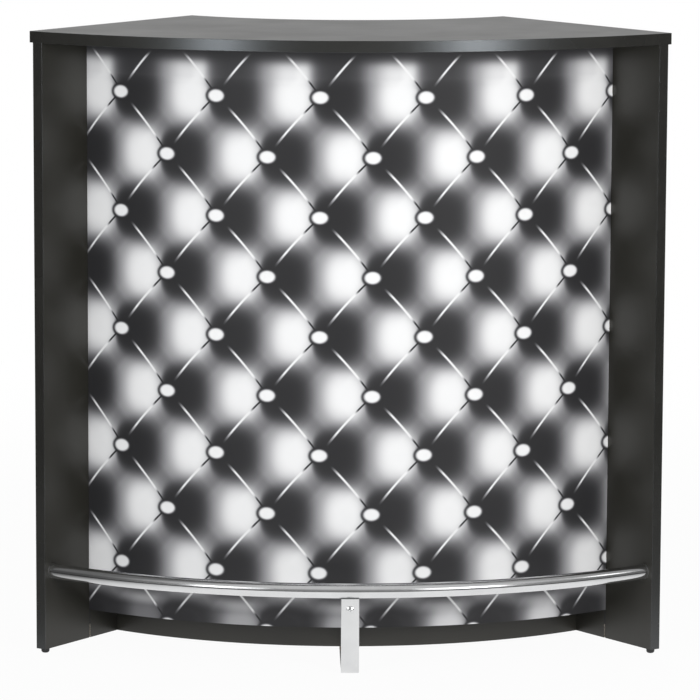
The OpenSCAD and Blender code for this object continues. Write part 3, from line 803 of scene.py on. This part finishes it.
SIDES = (-1, 1)
CAM_PLACES = [(side, s) for side in SIDES for s in CAM_S]
support_screw_place = Matrix.Translation((0, STRIP_FRONT_Y, SUPPORT_SCREW_Z)) @ TO_FRONT
fit("machine_screw", machine_screw(), [support_screw_place], CHROME, "support_screw")
fit("hexagon_nut", hexagon_nut(), [support_screw_place], ZINC, "support_nut")
fit("support_foot_screw", wood_screw(36),
    [Matrix.Translation((0, FOOT_SCREW_Y, FOOT_SCREW_Z)) @ HEAD_DOWN],
    ZINC, "foot_screw")
fit("rail_end_screws", wood_screw(30),
    [on_side(side, RAIL_R, -RAIL_PLUG_T, RAIL_Z, TO_FRONT) for side in SIDES],
    ZINC, "plug_screws")
fit("cam_lock_set", cam_lock(),
    [on_side(side, s, -CAM_REACH, SHELF_Z[shelf]) for side, s in CAM_PLACES
     for shelf in FIXED_SHELVES]
    + [on_side(side, s, 0, UNDER_TOP_Z - CAM_REACH, INTO_PANEL) for side, s in CAM_PLACES],
    ZINC, "cam_locks")
fit("cam_bolt_set", cam_bolt(),
    [on_side(side, s, 0, SHELF_Z[shelf] + BOARD_T / 2, TO_Y) for side, s in CAM_PLACES
     for shelf in FIXED_SHELVES]
    + [on_side(side, s, SIDE_T / 2, UNDER_TOP_Z) for side, s in CAM_PLACES],
    ZINC, "cam_bolts")
fit("shelf_pin_set", shelf_pin(), [on_side(side, s, 0, PIN_Z, TO_Y) for side, s in CAM_PLACES],
    ZINC, "shelf_pins")
fit("rail_weld_bead", weld_bead(), [Matrix.Translation((0, TAB_BACK_Y, BEAD_Z)) @ TO_X],
    CHROME)


# Studio. The camera sees a white world and floor, and gloss sees a grey studio with soft windows.

WHITE = (1, 1, 1, 1)
FLOOR_COLOUR = (0.86, 0.86, 0.86, 1)
FLOOR_HALF = 60.0
FILL = 0.23  # the world's light on surfaces: from the sides, from low in front and from behind
FILL_AHEAD = 0.42
FILL_BEHIND = 0.85
GLOSS_BEHIND = 0.785  # what gloss sees of the world behind the counter
# Azimuth in degrees, half width in radians, height and half height on the unit sphere, strength
WINDOWS = (
    (-31.0, 0.085, 0.315, 0.125, 3.0),
    (30.4, 0.115, 0.315, 0.125, 3.0),
    (72.0, 0.10, 0.54, 0.09, 2.4))
WINDOW_FADE = (0.35, 1.5)  # the shares of a window's half size where it is at full and at none
COOL = (0.97, 0.985, 1.0)
LAMP_AIM = Vector((0, 0, 0.7))
IMAGE_PX = 700  # the picture's width and height

# Fades, as for remap: where each starts and ends, and the shares there
FLOOR_GREY_AWAY = (1.0, 2.6, 1.0, 0.1)  # what gloss sees of the floor, by the distance in metres
FLOOR_GREY_LEFT = (-0.90, -0.30, 0.12, 1.0)  # and by x
FLOOR_GREY_RIGHT = (0.50, 1.15, 1.0, 0.25)
FLOOR_WHITE_AWAY = (0.9, 3.2, 0.955, 1.0)  # how much of the floor is plain white
CEILING = (0.30, 0.62, 0.28, 0.64)  # what gloss sees of the world, by its height
WALL_LEFT = (math.radians(-72), math.radians(-32), 0.25, 1.0)  # and by azimuth
WALL_RIGHT = (math.radians(42), math.radians(80), 1.0, 0.55)
FRONT = (0.60, 0.20, 0.0, 1.0)  # where it is the studio, by y
AHEAD_Y = (-0.2, -0.7, 0.0, 1.0)  # where the fill is the one from low in front
AHEAD_Z = (0.10, 0.50, 1.0, 0.0)
BEHIND_Y = (-0.05, 0.25, 0.0, 1.0)  # and where it is the one from behind


def ray_shares(g):
    """1 for what gloss sees, and 1 for what the camera, gloss or clear pieces see. Both are 0 for
    the light that falls on surfaces."""
    path = g.node("ShaderNodeLightPath").outputs
    return path["Is Glossy Ray"], g.math(
        "MAXIMUM", path["Is Camera Ray"],
        g.math("MAXIMUM", path["Is Glossy Ray"], path["Is Transmission Ray"]))


def studio_floor():
    """White floor that keeps a faint shadow near the counter. What gloss shows of it gets grey
    with the distance, and to the left and right of the counter."""
    mesh = bpy.data.meshes.new("studio_floor")
    mesh.from_pydata([(-FLOOR_HALF, -FLOOR_HALF, 0), (FLOOR_HALF, -FLOOR_HALF, 0),
                      (FLOOR_HALF, FLOOR_HALF, 0), (-FLOOR_HALF, FLOOR_HALF, 0)],
                     [], [(0, 1, 2, 3)])
    floor = bpy.data.objects.new("studio_floor", mesh)
    bpy.context.scene.collection.objects.link(floor)
    g = Graph("studio_floor")
    coords, parts = g.place()
    glossy, seen = ray_shares(g)
    diffuse = g.node("ShaderNodeBsdfDiffuse")
    diffuse.inputs["Color"].default_value = FLOOR_COLOUR
    glow = g.node("ShaderNodeEmission")
    away = g.node("ShaderNodeVectorMath", operation="LENGTH")
    g.feed(away.inputs[0], coords)
    distance = away.outputs["Value"]
    mirrored = g.remap(distance, *FLOOR_GREY_AWAY, smooth=True)
    mirrored = g.mul(mirrored, g.remap(parts["X"], *FLOOR_GREY_LEFT, smooth=True))
    mirrored = g.mul(mirrored, g.remap(parts["X"], *FLOOR_GREY_RIGHT, smooth=True))
    g.feed(glow.inputs["Strength"], g.lerp(1.0, mirrored, glossy))
    white_share = g.remap(distance, *FLOOR_WHITE_AWAY, smooth=True)
    g.shown_or_lit(g.mul(seen, white_share), diffuse, glow)
    mesh.materials.append(g.material)


def studio_world():
    """White all round for the camera. Gloss shows a grey studio in front, darker low down and to
    the sides, with the soft windows in it. Surfaces get a weaker fill."""
    world = bpy.data.worlds.new("studio")
    bpy.context.scene.world = world
    world.use_nodes = True
    g = Graph("studio", world.node_tree)
    glossy, seen = ray_shares(g)
    parts = g.node("ShaderNodeSeparateXYZ")
    g.feed(parts.inputs[0], g.node("ShaderNodeTexCoord").outputs["Generated"])
    x, y, z = parts.outputs
    azimuth = g.math("ARCTAN2", x, g.mul(y, -1.0))
    ceiling = g.remap(z, *CEILING, smooth=True)
    left = g.remap(azimuth, *WALL_LEFT, smooth=True)
    right = g.remap(azimuth, *WALL_RIGHT, smooth=True)
    studio = g.mul(ceiling, g.mul(left, right))
    full, none = WINDOW_FADE
    for degrees, half_w, height, half_h, strength in WINDOWS:
        aside = g.math("ABSOLUTE", g.sub(azimuth, math.radians(degrees)))
        over = g.math("ABSOLUTE", g.sub(z, height))
        window = g.mul(g.remap(aside, full * half_w, none * half_w, 1.0, 0.0, smooth=True),
                       g.remap(over, full * half_h, none * half_h, 1.0, 0.0, smooth=True))
        studio = g.lerp(studio, strength, window)
    front = g.remap(y, *FRONT, smooth=True)
    grey = g.lerp(GLOSS_BEHIND, studio, front)
    fill = g.node("ShaderNodeBackground")
    fill.inputs["Color"].default_value = WHITE
    ahead = g.mul(g.remap(y, *AHEAD_Y, smooth=True), g.remap(z, *AHEAD_Z, smooth=True))
    behind = g.remap(y, *BEHIND_Y, smooth=True)
    g.feed(fill.inputs["Strength"], g.lerp(g.lerp(FILL, FILL_AHEAD, ahead), FILL_BEHIND, behind))
    shown = g.node("ShaderNodeBackground")
    shown.inputs["Color"].default_value = WHITE
    g.feed(shown.inputs["Strength"], g.lerp(1.0, grey, glossy))
    g.shown_or_lit(seen, fill, shown)


def softbox(name, azimuth, distance, height, width, tall, power, tint=(1, 1, 1)):
    """Area light at an azimuth from the front, positive to the right, facing the counter."""
    data = bpy.data.lights.new(name, "AREA")
    data.shape = "RECTANGLE"
    data.size = width
    data.size_y = tall
    data.energy = power
    data.color = tint
    lamp = bpy.data.objects.new(name, data)
    a = math.radians(azimuth)
    lamp.location = (distance * math.sin(a), -distance * math.cos(a), height)
    aim = LAMP_AIM - lamp.location
    lamp.rotation_euler = aim.to_track_quat("-Z", "Y").to_euler()
    bpy.context.scene.collection.objects.link(lamp)
    return lamp


def studio_lamps():
    """A softbox on either side, each with a wide weak one about it. The two small ones would leave
    hard glare on the foot rail and the worktop, so they don't light these, which show the world's
    windows instead."""
    left = softbox("softbox_left", azimuth=-31.0, distance=3.516, height=1.35, width=0.55,
                   tall=1.0, power=28, tint=COOL)
    softbox("softbox_left_wide", azimuth=-30.2, distance=3.53, height=1.45, width=1.15,
            tall=1.5, power=5.0, tint=COOL)
    right = softbox("softbox_right", azimuth=30.4, distance=3.516, height=1.35, width=0.75,
                    tall=1.0, power=40)
    softbox("softbox_right_wide", azimuth=29.6, distance=3.53, height=1.45, width=1.40,
            tall=1.5, power=7.4)
    spared = bpy.data.collections.new("softened_gloss")
    for name in ("foot_rail", "worktop"):
        spared.objects.link(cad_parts[name])
    for linked in spared.collection_objects:
        linked.light_linking.link_state = "EXCLUDE"
    for lamp in (left, right):
        lamp.light_linking.receiver_collection = spared


def studio_camera():
    """A long lens a little to the left, looking slightly down, fitted to the photograph."""
    focal_px = 4426.80
    distance = 8.0  # from the arcs' centre
    place = Vector((-0.126030, ARC_Y - distance, 1.632423))
    yaw, pitch, roll = 0.0173, 0.1511, 0.0045
    ahead = Vector((math.sin(yaw) * math.cos(pitch), math.cos(yaw) * math.cos(pitch),
                    -math.sin(pitch)))
    right = ahead.cross(Vector((0, 0, 1))).normalized()
    up = right.cross(ahead)
    c, s = math.cos(roll), math.sin(roll)
    right, up = c * right + s * up, -s * right + c * up
    data = bpy.data.cameras.new("camera")
    data.sensor_width = 36.0
    data.lens = focal_px / IMAGE_PX * data.sensor_width
    data.clip_end = 200.0
    camera = bpy.data.objects.new("camera", data)
    turn = Matrix((right, up, -ahead)).transposed()
    camera.matrix_world = Matrix.Translation(place) @ turn.to_4x4()
    bpy.context.scene.collection.objects.link(camera)
    bpy.context.scene.camera = camera


studio_floor()
studio_world()
studio_lamps()
studio_camera()
bpy.context.scene.view_settings.view_transform = "Standard"
